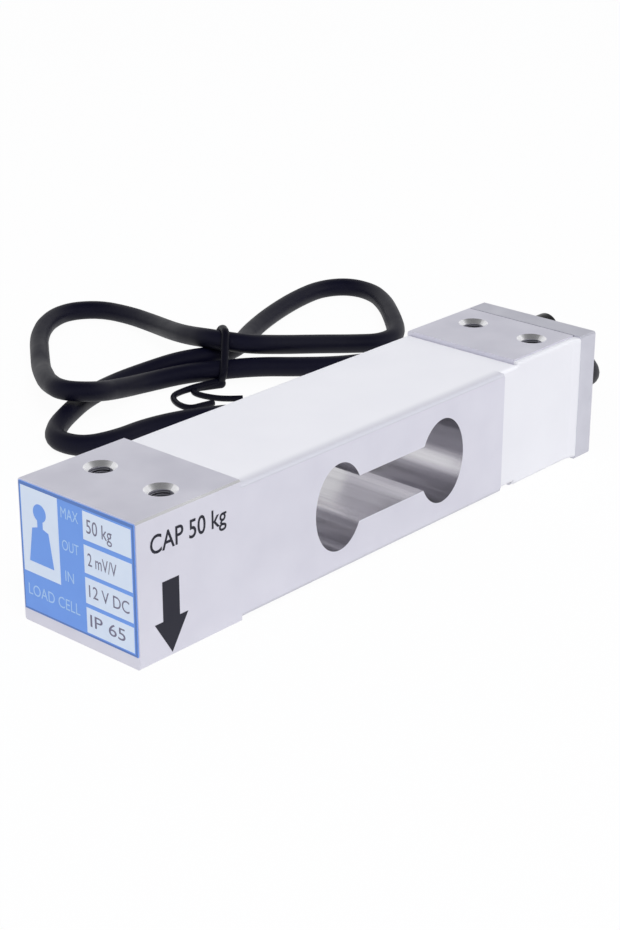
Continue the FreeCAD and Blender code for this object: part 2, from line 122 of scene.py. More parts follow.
def add_node(tree: Tree, kind: str, inputs: Optional[Dict[Any, Any]] = None, **settings: Any) -> Node:
    """Adds one node with its settings, constants and links.

    Args:
        tree: the node tree that gets it.
        kind: the node's type name.
        inputs: socket name or number to a constant, or to the output socket that feeds it.
        settings: the node's own properties.

    Returns:
        The new node.
    """
    node = tree.nodes.new(kind)
    for name, value in settings.items():
        setattr(node, name, value)
    for key, value in (inputs or {}).items():
        if isinstance(value, Socket):
            tree.links.new(value, node.inputs[key])
        else:
            node.inputs[key].default_value = value
    return node


@dataclass(frozen=True)
class Finish:
    """A real material, how its surface was made, and what that gives the eye.

    The tone drifts between two close colours over drift_mm, the roughness drifts with it, and marks_mm
    sets the spacing of the fine marks, which bump the surface. Marks that are finer than a pixel on the
    real thing are drawn as coarse as they need to show.
    """

    name: str
    colour: str
    shade: str
    roughness: float
    slot: str
    marks: Marks = Marks.MOULD
    metallic: float = 0.0
    ior: float = 1.5
    drift_mm: float = 12.0
    roughness_drift: float = 0.06
    marks_mm: float = 0.5
    marks_depth_mm: float = 0.01
    marks_strength: float = 0.3
    coat: float = 0.0
    specular: float = 0.5

    def material(self) -> bpy.types.Material:
        """Makes this finish once and then shares it.

        Returns:
            The material.
        """
        known = bpy.data.materials.get(self.name)
        if known:
            return known
        material = bpy.data.materials.new(self.name)
        material.use_nodes = True
        tree = material.node_tree
        shader = tree.nodes["Principled BSDF"]
        for name, value in (("Metallic", self.metallic), ("IOR", self.ior), ("Coat Weight", self.coat),
                            ("Specular IOR Level", self.specular)):
            shader.inputs[name].default_value = value
        place = add_node(tree, "ShaderNodeTexCoord").outputs["Object"]
        slow = add_node(tree, "ShaderNodeTexNoise", {
            "Vector": place, "Scale": 1 / (self.drift_mm * MM), "Detail": DRIFT_DETAIL}).outputs["Fac"]
        kind, first, second, mixed = Blend.COLOUR.value
        tone = add_node(tree, "ShaderNodeMix", {
            0: slow, first: linear(self.colour), second: linear(self.shade)}, data_type=kind)
        tree.links.new(tone.outputs[mixed], shader.inputs["Base Color"])
        low, high = DRIFT_RANGE
        gloss = add_node(tree, "ShaderNodeMapRange", {
            "Value": slow, "From Min": low, "From Max": high,
            "To Min": self.roughness - self.roughness_drift,
            "To Max": self.roughness + self.roughness_drift})
        tree.links.new(gloss.outputs["Result"], shader.inputs["Roughness"])
        along = add_node(tree, "ShaderNodeMapping", {
            "Vector": place, "Scale": MARK_STRETCH[self.marks]})
        fine = add_node(tree, "ShaderNodeTexNoise", {
            "Vector": along.outputs["Vector"], "Scale": 1 / (self.marks_mm * MM),
            "Detail": MARKS_DETAIL})
        bump = add_node(tree, "ShaderNodeBump", {
            "Strength": self.marks_strength, "Distance": self.marks_depth_mm * MM,
            "Height": fine.outputs["Fac"]})
        tree.links.new(bump.outputs["Normal"], shader.inputs["Normal"])
        self.work_over(tree, place, shader)
        return material

    def work_over(self, tree: Tree, place: Socket, shader: Node) -> None:
        """A plain finish is the same all over; a subclass may change some of its faces."""


@dataclass(frozen=True)
class MachinedFinish(Finish):
    """A milled finish whose cut-out was drilled and then wire cut, and whose holes were countersunk.

    A face is a wall of the cut-out if it lies within cut_out_mm, which bounds X and Z, and faces no more
    than wall_facing across the beam. It is a countersink if the upright share of its normal lies within
    sink_facing, a middle and a half width. The slot lies within slot_mm, a middle and a half height; its
    faces are painted with highlight streaks, which blend into a painted shade on the drilled bores by
    bore_blend times that half height. A cutting wire's lines are too fine to show, so they are drawn at
    cut_lines_mm, as relief and as the painted streaks.
    """

    cut_out_mm: Sides = (-90.0, -31.0, 5.0, 26.0)
    wall_facing: float = 0.6
    slot_mm: Span = (15.5, 5.2)
    # Painted light: the slot's faces streak between a painted highlight and a painted shade, and the
    # drilled bores take a darker painted shade
    slot_painted_highlight: str = "#eeedf1"
    slot_painted_shade: str = "#d6d4da"
    bore_painted_shade: str = "#b6b4bb"
    bore_blend: float = 1.15
    cut_metallic: float = 0.85
    cut_roughness: float = 0.2
    cut_lines_mm: float = 2.6
    cut_stretch: Point3 = (1.0, 0.02, 1.0)
    # The share of the wire lines' noise that spreads between the slot's painted shade and painted
    # highlight
    painted_streak_range: Span = (0.35, 0.65)
    cut_depth_mm: float = 0.07
    hole_rows_mm: Span = HOLE_ROWS
    hole_side_mm: float = HOLE_SIDE
    sink_facing: Span = (0.7, 0.2)
    sink_colour: str = "#f8f8fb"
    sink_metallic: float = 1.0
    sink_roughness: float = 0.24
    sink_stretch: float = 0.9

    def work_over(self, tree: Tree, place: Socket, shader: Node) -> None:
        """Paints highlight streaks on the cut-out's slot and shade on its bores, brightens the
        countersinks, and lines the cut-out.

        Args:
            tree: the material's nodes.
            place: the surface point.
            shader: the material's shader.
        """
        normal = add_node(tree, "ShaderNodeNewGeometry").outputs["True Normal"]
        facing = add_node(tree, "ShaderNodeSeparateXYZ", {0: normal}).outputs
        spot = add_node(tree, "ShaderNodeSeparateXYZ", {0: place}).outputs
        x0, x1, z0, z1 = (c * MM for c in self.cut_out_mm)
        within: Any = 1.0
        for value, low, high in ((facing[1], -self.wall_facing, self.wall_facing),
                                 (spot[0], x0, x1), (spot[2], z0, z1)):
            inside = add_node(tree, "ShaderNodeMath", {
                0: value, 1: (low + high) / 2, 2: (high - low) / 2}, operation="COMPARE")
            within = add_node(tree, "ShaderNodeMath", {
                0: within, 1: inside.outputs[0]}, operation="MULTIPLY").outputs[0]
        upright = add_node(tree, "ShaderNodeMath", {0: facing[2]}, operation="ABSOLUTE")
        middle, half = self.sink_facing
        sloped = add_node(tree, "ShaderNodeMath", {
            0: upright.outputs[0], 1: middle, 2: half}, operation="COMPARE")
        sunk = add_node(tree, "ShaderNodeMath", {
            0: sloped.outputs[0], 1: within}, operation="SUBTRACT", use_clamp=True).outputs[0]
        lines, painted_wall_light = self.lines_and_painted_light(tree, place, spot[2])
        # The cut-out's faces take their painted light and shade, the countersinks their bright bare metal
        for share, colour, metallic, roughness in (
                (within, painted_wall_light, self.cut_metallic, self.cut_roughness),
                (sunk, linear(self.sink_colour), self.sink_metallic, self.sink_roughness)):
            for name, blend, value in (("Base Color", Blend.COLOUR, colour),
                                       ("Metallic", Blend.NUMBER, metallic),
                                       ("Roughness", Blend.NUMBER, roughness)):
                kind, first, second, mixed = blend.value
                socket = shader.inputs[name]
                before = socket.links[0].from_socket if socket.links else socket.default_value
                mix = add_node(tree, "ShaderNodeMix", {
                    0: share, first: before, second: value}, data_type=kind)
                tree.links.new(mix.outputs[mixed], socket)
        milled = shader.inputs["Normal"].links[0].from_node
        kind, first, second, mixed = Blend.NUMBER.value
        fade = add_node(tree, "ShaderNodeMix", {
            0: within, first: self.marks_strength, second: 0.0}, data_type=kind)
        tree.links.new(fade.outputs[mixed], milled.inputs["Strength"])
        bump = add_node(tree, "ShaderNodeBump", {
            "Strength": within, "Distance": self.cut_depth_mm * MM, "Height": lines,
            "Normal": milled.outputs["Normal"]})
        tree.links.new(bump.outputs["Normal"], shader.inputs["Normal"])
        self.turn_sinks(tree, spot, sunk, shader)

    def lines_and_painted_light(self, tree: Tree, place: Socket, height: Socket) -> Tuple[Socket, Socket]:
        """Draws the lines that the wire left on the slot, as relief and as painted highlight streaks, and
        the painted shade on the drilled bores.

        Args:
            tree: the material's nodes.
            place: the surface point.
            height: the point's height.

        Returns:
            The lines' relief, and the cut-out's colour with its painted highlight and painted shade.
        """
        through = add_node(tree, "ShaderNodeMapping", {"Vector": place, "Scale": self.cut_stretch})
        lines = add_node(tree, "ShaderNodeTexNoise", {
            "Vector": through.outputs["Vector"], "Scale": 1 / (self.cut_lines_mm * MM),
            "Detail": MARKS_DETAIL}).outputs["Fac"]
        low, high = self.painted_streak_range
        share = add_node(tree, "ShaderNodeMapRange", {"Value": lines, "From Min": low, "From Max": high})
        kind, first, second, mixed = Blend.COLOUR.value
        # Painted highlight streaks on the slot, following the wire lines
        slot = add_node(tree, "ShaderNodeMix", {
            0: share.outputs["Result"], first: linear(self.slot_painted_shade),
            second: linear(self.slot_painted_highlight)}, data_type=kind)
        middle, half = (c * MM for c in self.slot_mm)
        above = add_node(tree, "ShaderNodeMath", {0: height, 1: middle}, operation="SUBTRACT")
        away = add_node(tree, "ShaderNodeMath", {0: above.outputs[0]}, operation="ABSOLUTE")
        # Painted shade on the drilled bores, blended in past the slot's half height
        drilled = add_node(tree, "ShaderNodeMapRange", {
            "Value": away.outputs[0], "From Min": half, "From Max": half * self.bore_blend})
        painted_wall_light = add_node(tree, "ShaderNodeMix", {
            0: drilled.outputs["Result"], first: slot.outputs[mixed],
            second: linear(self.bore_painted_shade)}, data_type=kind)
        return lines, painted_wall_light.outputs[mixed]

    def turn_sinks(self, tree: Tree, spot: bpy.types.NodeOutputs, sunk: Socket, shader: Node) -> None:
        """Stretches the countersinks' highlights across the rings that the cutter turned.

        Args:
            tree: the material's nodes.
            spot: the surface point's three coordinates.
            sunk: 1 on a countersink.
            shader: the material's shader.
        """
        near, far = (row * MM for row in self.hole_rows_mm)
        row = add_node(tree, "ShaderNodeMath", {
            0: spot[0], 1: (near + far) / 2}, operation="LESS_THAN")
        along = add_node(tree, "ShaderNodeMapRange", {
            "Value": row.outputs[0], "To Min": near, "To Max": far})
        side = add_node(tree, "ShaderNodeMath", {0: spot[1]}, operation="SIGN")
        across = add_node(tree, "ShaderNodeMath", {
            0: side.outputs[0], 1: self.hole_side_mm * MM}, operation="MULTIPLY")
        axis = add_node(tree, "ShaderNodeCombineXYZ", {0: along.outputs["Result"], 1: across.outputs[0]})
        flat = add_node(tree, "ShaderNodeCombineXYZ", {0: spot[0], 1: spot[1]})
        outward = add_node(tree, "ShaderNodeVectorMath", {
            0: flat.outputs[0], 1: axis.outputs[0]}, operation="SUBTRACT")
        tree.links.new(outward.outputs[0], shader.inputs["Tangent"])
        stretch = add_node(tree, "ShaderNodeMath", {
            0: sunk, 1: self.sink_stretch}, operation="MULTIPLY")
        tree.links.new(stretch.outputs[0], shader.inputs["Anisotropic"])


@dataclass(frozen=True)
class PaintedEdgeShadeFinish(Finish):
    """A poured skin that thins out at the beam's front edge, greyed there by painted shade that tones down
    its lit rounded lip.
    """

    # Painted shade: the grey that the skin's colour is blended to at the front edge, and the span of Y, in
    # millimetres, over which it fades in
    painted_edge_shade_colour: str = "#d0d0d7"
    painted_shade_span_mm: Span = (-16.6, -13.2)
    step_mm: float = -21.3

    def work_over(self, tree: Tree, place: Socket, shader: Node) -> None:
        """Paints shade on the skin along the front edge, up to the step.

        Args:
            tree: the material's nodes.
            place: the surface point.
            shader: the material's shader.
        """
        spot = add_node(tree, "ShaderNodeSeparateXYZ", {0: place}).outputs
        edge, full = (c * MM for c in self.painted_shade_span_mm)
        # How much painted shade a point gets: all of it at the front edge, none at the span's inner end
        thin = add_node(tree, "ShaderNodeMapRange", {
            "Value": spot[1], "From Min": edge, "From Max": full, "To Min": 1.0, "To Max": 0.0},
            interpolation_type="SMOOTHSTEP")
        before = add_node(tree, "ShaderNodeMath", {
            0: spot[0], 1: self.step_mm * MM}, operation="LESS_THAN")
        share = add_node(tree, "ShaderNodeMath", {
            0: thin.outputs["Result"], 1: before.outputs[0]}, operation="MULTIPLY")
        kind, first, second, mixed = Blend.COLOUR.value
        tone = add_node(tree, "ShaderNodeMix", {
            0: share.outputs[0], first: shader.inputs["Base Color"].links[0].from_socket,
            second: linear(self.painted_edge_shade_colour)}, data_type=kind)
        tree.links.new(tone.outputs[mixed], shader.inputs["Base Color"])


# Clear-anodised aluminium, face milled and lightly blasted: a pale satin grey with a lilac cast, half
# mirror and half matt; the cutter's lines are finer than a pixel, so they are drawn at 0.3 mm. The
# cut-out's slot carries painted highlight streaks, and its drilled bores a painted shade
MILLED_ALUMINIUM_PAINTED_BORES = MachinedFinish(
    "clear_anodised_milled_aluminium_painted_bore_light", "#dedde7", "#d7d6e1", 0.42, "machined_aluminium", Marks.CUTTER,
    metallic=0.65, drift_mm=9.0, marks_mm=0.3, marks_strength=0.25)
# The same metal sawn and milled for the end plate: a little duller and darker
PLATE_ALUMINIUM = Finish(
    "satin_milled_aluminium_plate", "#d1d1da", "#c8c8d2", 0.46, "plate_aluminium", Marks.CUTTER,
    metallic=0.65, drift_mm=6.0, marks_mm=0.35, marks_depth_mm=0.012)
# Bare tapped aluminium in painted shade: darker, since each flank mostly sees the next
TAPPED_ALUMINIUM_PAINTED_SHADE = Finish(
    "tapped_aluminium_thread_painted_shade", "#8c8c94", "#7c7c84", 0.3, "machined_aluminium", Marks.CUTTER,
    metallic=1.0, drift_mm=2.0, marks_mm=0.2)
# White silicone, poured over the gauges and wiped level: matt, slightly wavy, thin at the front edge,
# where painted shade greys it
COVER_SILICONE = PaintedEdgeShadeFinish(
    "wiped_white_silicone_painted_edge_shade", "#f5f5f7", "#efeff2", 0.5, "white_silicone", Marks.CAST,
    ior=1.42, drift_mm=16.0, marks_mm=7.0, marks_depth_mm=0.12)
# White silicone, poured into the wiring pocket: the same, of an even thickness
POURED_SILICONE = Finish(
    "poured_white_silicone", "#eeeef0", "#e8e8eb", 0.5, "white_silicone", Marks.CAST,
    ior=1.42, drift_mm=16.0, marks_mm=7.0, marks_depth_mm=0.12)
# White silicone sheet, die cut for the gasket: matt, and greyer than the poured skins
SILICONE_SHEET = Finish(
    "die_cut_white_silicone_sheet", "#d6d6da", "#cbcbd0", 0.6, "white_silicone", drift_mm=6.0)
# Steel, turned and blackened with oxide: near black with a soft oily highlight
BLACK_OXIDE = Finish(
    "turned_black_oxide_steel", "#26262a", "#1d1d20", 0.36, "blackened_steel", Marks.CUTTER,
    metallic=1.0, drift_mm=3.0, marks_mm=0.2)
# Polyamide, injection moulded: near black with a fine even grain
MOULDED_NYLON = Finish(
    "moulded_black_nylon", "#141418", "#1b1b1f", 0.5, "black_nylon",
    marks_mm=0.4, marks_depth_mm=0.02, specular=0.3)
# Nitrile rubber, moulded: dead matt black
MOULDED_RUBBER = Finish(
    "moulded_black_rubber", "#141416", "#1b1b1d", 0.7, "black_rubber",
    marks_mm=0.6, marks_depth_mm=0.03, specular=0.3)
# Soft PVC, extruded over the screen: blue-black with a broad soft sheen and a faint rope-like lay
EXTRUDED_PVC = Finish(
    "extruded_black_pvc", "#080819", "#0d0d20", 0.5, "black_pvc", Marks.DRAWN, ior=1.53,
    drift_mm=8.0, marks_mm=1.6, marks_depth_mm=0.05, marks_strength=0.35, specular=0.14)
# The tie's PVC sleeve: the same black, a little glossier
TIE_PVC = Finish(
    "extruded_black_tie_sleeve", "#070714", "#0c0c1a", 0.4, "black_pvc", Marks.DRAWN, ior=1.53,
    drift_mm=3.0, marks_mm=0.8, marks_depth_mm=0.04, specular=0.12)
# Vinyl film, screen printed and laminated: clean blue with a thin gloss
BLUE_VINYL = Finish(
    "printed_blue_vinyl_film", "#679cee", "#72a5f3", 0.34, "printed_label", Marks.CAST,
    drift_mm=5.0, marks_mm=2.0, coat=0.1)
# The film's darker ruled border
BORDER_VINYL = Finish(
    "printed_border_vinyl_film", "#4a76bd", "#547fc6", 0.34, "printed_label", Marks.CAST,
    drift_mm=4.0, marks_mm=2.0, coat=0.1)
# The film's bare white, left unprinted
WHITE_VINYL = Finish(
    "unprinted_white_vinyl_film", "#e8f4ff", "#e1eefd", 0.36, "printed_label", Marks.CAST,
    drift_mm=5.0, marks_mm=2.0, coat=0.1)
# Pale blue print on the blue field
PALE_PRINT = Finish(
    "printed_pale_blue_ink", "#b4d6fa", "#a6ccf6", 0.4, "printed_label", drift_mm=2.0)
# Thermal-transfer print in the white cells: dark grey, slightly broken
DARK_PRINT = Finish(
    "printed_dark_grey_ink", "#5f5c70", "#86829a", 0.5, "printed_label", drift_mm=0.8)
# Pad-printed epoxy ink on the beam's side: blue-black and matt
PAD_INK = Finish(
    "pad_printed_black_ink", "#1c1c28", "#262632", 0.55, "machined_aluminium",
    drift_mm=3.0, specular=0.25)
# Polyimide film: amber and smooth
POLYIMIDE = Finish(
    "laminated_polyimide_film", "#b9752c", "#a8651f", 0.3, "polyimide_film", drift_mm=3.0)
# Glass-fibre epoxy board under green solder mask
SOLDER_MASK = Finish(
    "solder_masked_glass_epoxy", "#1f6b3f", "#185733", 0.35, "glass_epoxy", drift_mm=2.0)
# Chip resistors: fired ceramic with a dark glaze
GLAZED_CHIP = Finish(
    "fired_glazed_ceramic_chip", "#1b1b1e", "#2a2a2e", 0.3, "chip_ceramic", drift_mm=1.0)
# Tinned copper: bright and a little uneven
TINNED_COPPER = Finish(
    "tinned_copper_wire", "#cfcdc8", "#b8b5ae", 0.28, "tinned_copper", Marks.DRAWN,
    metallic=1.0, drift_mm=1.0, marks_mm=0.3)
# Core insulation, extruded: plain wire colours with a soft sheen
CORE_RED, CORE_BLACK, CORE_GREEN, CORE_WHITE = (
    Finish("extruded_%s_core_pvc" % wire, colour, shade, 0.4, "core_%s_pvc" % wire, Marks.DRAWN,
           drift_mm=2.0)
    for wire, colour, shade in (("red", "#b3191c", "#9d1417"), ("black", "#1d1d1f", "#28282b"),
                                ("green", "#1c7a3c", "#166831"), ("white", "#e9e8e4", "#dddbd5")))


def dress_node(name: str, finish: Finish) -> None:
    """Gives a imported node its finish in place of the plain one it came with.

    Args:
        name: the node.
        finish: what it is made of.
    """
    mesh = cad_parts[name].data
    mesh.materials.clear()
    mesh.materials.append(finish.material())
    LOG.info("%s dressed as %s", name, finish.name)


def into_scene(name: str, data: bpy.types.ID) -> bpy.types.Object:
    """Puts a mesh, curve, lamp or camera into the scene.

    Args:
        name: the object's name.
        data: what it shows.

    Returns:
        The new object.
    """
    thing = bpy.data.objects.new(name, data)
    bpy.context.scene.collection.objects.link(thing)
    return thing


def add_piece(name: str, data: bpy.types.ID, finish: Finish) -> bpy.types.Object:
    """Puts a new piece on the load cell.

    Args:
        name: the piece's name.
        data: its mesh or curve, in the row frame.
        finish: what it is made of.

    Returns:
        The object, which rides on the load cell.
    """
    data.materials.append(finish.material())
    piece = into_scene(name, data)
    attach(piece, BODY)
    LOG.info("%s built in %s", name, finish.name)
    return piece


def piece_from(name: str, form: Form, finish: Finish) -> bpy.types.Object:
    """Turns a finished form into a piece of the load cell.

    Args:
        name: the piece's name.
        form: its faces, in the row frame; it is freed.
        finish: what it is made of.

    Returns:
        The new piece.
    """
    bmesh.ops.recalc_face_normals(form, faces=form.faces[:])
    mesh = bpy.data.meshes.new(name)
    form.to_mesh(mesh)
    form.free()
    return add_piece(name, mesh, finish)


def join_rings(form: Form, rings: Sequence[Sequence[Corner]]) -> None:
    """Joins each ring of points to the next with a row of faces.

    Args:
        form: the form in the making.
        rings: closed rings with the same number of points.
    """
    for before, after in zip(rings, rings[1:]):
        for k in range(len(before)):
            form.faces.new((before[k - 1], before[k], after[k], after[k - 1]))


def mesh_of(curve: bpy.types.Curve) -> bpy.types.Mesh:
    """Turns a curve or a line of type into a mesh.

    Args:
        curve: the curve, which is removed.

    Returns:
        The mesh of its surface.
    """
    model = bpy.data.objects.new(curve.name, curve)
    mesh = bpy.data.meshes.new_from_object(model)
    bpy.data.objects.remove(model)
    bpy.data.curves.remove(curve)
    return mesh


def laid_curve(name: str, points: Sequence[Point3], diameter: float) -> bpy.types.Curve:
    """Makes one smooth round spline that has the given points as its control points.

    Args:
        name: the curve's name.
        points: its route, in millimetres.
        diameter: its thickness, in millimetres.

    Returns:
        The curve, with closed ends.
    """
    curve = bpy.data.curves.new(name, "CURVE")
    curve.dimensions = "3D"
    spline = curve.splines.new("NURBS")
    spline.points.add(len(points) - 1)
    for point, (x, y, z) in zip(spline.points, points):
        point.co = (x * MM, y * MM, z * MM, 1.0)
    spline.order_u = 3
    spline.use_endpoint_u = True
    spline.resolution_u = WIRE_STEPS
    curve.bevel_depth = diameter / 2 * MM
    curve.bevel_resolution = WIRE_ROUND
    curve.use_fill_caps = True
    return curve


def box_outline(a0: float, a1: float, b0: float, b1: float) -> List[Point2]:
    """Returns the four corners of a rectangle."""
    return [(a0, b0), (a1, b0), (a1, b1), (a0, b1)]


def edge_distance(a: float, b: float, outline: Outline) -> float:
    """Finds how far a point lies from an outline's nearest edge.

    Args:
        a: the point's first coordinate.
        b: its second.
        outline: the closed outline's corners.

    Returns:
        The distance, in the same unit.
    """
    spot = Vector((a, b))
    best = math.inf
    for (a0, b0), (a1, b1) in zip(outline, list(outline[1:]) + [outline[0]]):
        start = Vector((a0, b0))
        run = Vector((a1, b1)) - start
        share = min(1.0, max(0.0, (spot - start).dot(run) / run.length_squared))
        best = min(best, (spot - start - run * share).length)
    return best


@dataclass(frozen=True)
class Words:
    """One line of type: its words, its run along the face, its foot and rise, and its weight."""

    text: str
    start: float
    end: float
    foot: float
    rise: float
    weight: float = 0.0


@dataclass
class Print:
    """A thin raised layer of ink or film on a flat face.

    place takes the face's own two axes and a height over the face to the row frame; base and top are the
    heights of the layer's lower and upper sides.
    """

    place: Place
    base: float
    top: float
    finish: Finish

    def ring(self, form: Form, outline: Outline, height: float) -> List[Corner]:
        """Returns new points at an outline's corners, at a height over the face."""
        return [form.verts.new(self.place(a, b, height)) for a, b in outline]

    def border(self, name: str, outer: Outline, inner: Outline) -> None:
        """Prints a frame, as one closed ring.

        Args:
            name: the piece's name.
            outer: the frame's outer corners.
            inner: its inner corners, in the same order.
        """
        form = bmesh.new()
        rings = [self.ring(form, outline, height) for outline, height in (
            (outer, self.base), (outer, self.top), (inner, self.top), (inner, self.base))]
        join_rings(form, rings + rings[:1])
        piece_from(name, form, self.finish)

    def plates(self, name: str, outlines: Sequence[Outline]) -> None:
        """Prints filled shapes.

        Args:
            name: the piece's name.
            outlines: each shape's corners.
        """
        form = bmesh.new()
        for outline in outlines:
            low, high = self.ring(form, outline, self.base), self.ring(form, outline, self.top)
            form.faces.new(high)
            form.faces.new(low[::-1])
            join_rings(form, [low, high])
        piece_from(name, form, self.finish)

    def words(self, name: str, lines: Sequence[Words]) -> None:
        """Prints lines of plain type.

        Args:
            name: the piece's name.
            lines: what to set, and where.
        """
        form = bmesh.new()
        for line in lines:
            curve = bpy.data.curves.new(name, "FONT")
            curve.body = line.text
            curve.extrude = 1.0  # any depth does: the points go to base or top below
            curve.offset = line.weight
            curve.resolution_u = LETTER_STEPS
            mesh = mesh_of(curve)
            first = min(v.co.x for v in mesh.vertices)
            across = (line.end - line.start) / (max(v.co.x for v in mesh.vertices) - first)
            up = line.rise / max(v.co.y for v in mesh.vertices)
            for v in mesh.vertices:
                spot = (line.start + (v.co.x - first) * across, line.foot + v.co.y * up)
                v.co = self.place(*spot, self.top if v.co.z > 0 else self.base)
            form.from_mesh(mesh)
            bpy.data.meshes.remove(mesh)
        bmesh.ops.remove_doubles(form, verts=form.verts[:], dist=SAME_SPOT)
        piece_from(name, form, self.finish)


@dataclass
class SubAssembly:
    """Some of the load cell's pieces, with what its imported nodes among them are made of."""

    finishes: Dict[str, Finish] = field(default_factory=dict)

    def build(self) -> None:
        """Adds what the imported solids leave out; a plain sub-assembly has its shapes already."""

    def dress(self) -> None:
        """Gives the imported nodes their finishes; new pieces carry their own."""
        for name, finish in self.finishes.items():
            dress_node(name, finish)


@dataclass
class BeamBody(SubAssembly):
    """The milled spring element, with the threads in its mounting holes.

    A ridge reaches flank_share of the pitch to either side of its middle at its foot, which lies
    foot_sunk inside the wall, and crest_half to either side at its tip, which stands crest above it.
    """

    finishes: Dict[str, Finish] = field(default_factory=lambda: {"beam_body": MILLED_ALUMINIUM_PAINTED_BORES})
    drill_radius: float = 2.5
    thread_start: float = 1.05
    thread_pitch: float = 1.0
    thread_turns: int = 9
    steps_per_turn: int = 28
    flank_share: float = 0.42
    crest: float = 0.26
    crest_half: float = 0.06
    foot_sunk: float = 0.02

    def build(self) -> None:
        """Cuts thread ridges into both mouths of every mounting hole."""
        for row, x in enumerate(HOLE_ROWS):
            for side, y in enumerate((-HOLE_SIDE, HOLE_SIDE)):
                for end in ("top", "bottom"):
                    self.thread("thread_%s_%d_%d" % (end, row, side), x, y, end == "top")

    def thread(self, name: str, x: float, y: float, from_top: bool) -> None:
        """Sweeps one ridge down a hole as a helix with closed ends.

        Args:
            name: the piece's name.
            x: the hole's place along the beam.
            y: its place across the beam.
            from_top: whether it starts at the upper mouth.
        """
        half = self.thread_pitch * self.flank_share
        wall = self.drill_radius + self.foot_sunk
        tip = wall - self.crest
        profile = [(wall, -half), (tip, -self.crest_half), (tip, self.crest_half), (wall, half)]
        form = bmesh.new()
        rings = []
        for k in range(self.thread_turns * self.steps_per_turn + 1):
            turn = 2 * math.pi * k / self.steps_per_turn
            depth = self.thread_start + half + self.thread_pitch * k / self.steps_per_turn
            ring = []
            for radius, offset in profile:
                level = depth + offset
                spot = Vector((x + radius * math.cos(turn), y + radius * math.sin(turn),
                               BEAM_HEIGHT - level if from_top else level))
                ring.append(form.verts.new(spot * MM))
            rings.append(ring)
        join_rings(form, rings)
        for ring in (rings[0], rings[-1]):
            form.faces.new(ring)
        piece_from(name, form, TAPPED_ALUMINIUM_PAINTED_SHADE).data.shade_smooth()


@dataclass
class SidePrint(SubAssembly):
    """The load arrow and the capacity printed on the beam's front face."""

    face_y: float = -16.75
    film: float = 0.03
    sunk: float = 0.02
    arrow_x: float = -126.9
    arrow_top: float = 16.6
    arrow_shoulder: float = 8.2
    arrow_tip: float = 0.9
    shaft_half: float = 2.25
    head_half: float = 4.5
    words: Words = Words("CAP 50 kg", -132.0, -111.4, 23.2, 3.9, 0.009)

    def on_face(self, x: float, z: float, up: float) -> Vector:
        """Returns a point of the front face, raised by up, in metres."""
        return Vector((x, self.face_y - up, z)) * MM

    def build(self) -> None:
        """Prints the arrow and the words."""
        x, shaft, head = self.arrow_x, self.shaft_half, self.head_half
        top, shoulder = self.arrow_top, self.arrow_shoulder
        arrow = [(x - shaft, top), (x + shaft, top), (x + shaft, shoulder), (x + head, shoulder),
                 (x, self.arrow_tip), (x - head, shoulder), (x - shaft, shoulder)]
        ink = Print(self.on_face, -self.sunk, self.film, PAD_INK)
        ink.plates("load_arrow_print", [arrow])
        ink.words("capacity_print", [self.words])


@dataclass(frozen=True)
class BalanceWeight:
    """A plain balance weight: a tapered body, a neck and a round knob.

    Rises are over its foot, the neck begins slope above the shoulder, and the knob's middle lies
    knob_lift of its radius above the neck.
    """

    foot_half: float = 3.6
    shoulder_half: float = 2.4
    shoulder_rise: float = 7.4
    slope: float = 0.5
    neck_half: float = 0.8
    neck_rise: float = 9.4
    knob: float = 1.9
    knob_lift: float = 0.9
    knob_arc_deg: Span = (-60.0, 240.0)
    knob_steps: int = 18

    def outline(self, middle: float, foot: float) -> List[Point2]:
        """Draws the weight in one line.

        Args:
            middle: its place across the label.
            foot: the height of its foot.

        Returns:
            The outline's corners.
        """
        shoulder, neck = foot + self.shoulder_rise, foot + self.neck_rise
        side = [(self.foot_half, foot), (self.shoulder_half, shoulder),
                (self.neck_half, shoulder + self.slope), (self.neck_half, neck)]
        start, end = self.knob_arc_deg
        turns = [math.radians(start + (end - start) * k / self.knob_steps)
                 for k in range(self.knob_steps + 1)]
        ring = [(self.knob * math.cos(turn), neck + self.knob * (self.knob_lift + math.sin(turn)))
                for turn in turns]
        return [(middle + a, b) for a, b in side + ring] + [(middle - a, b) for a, b in reversed(side)]


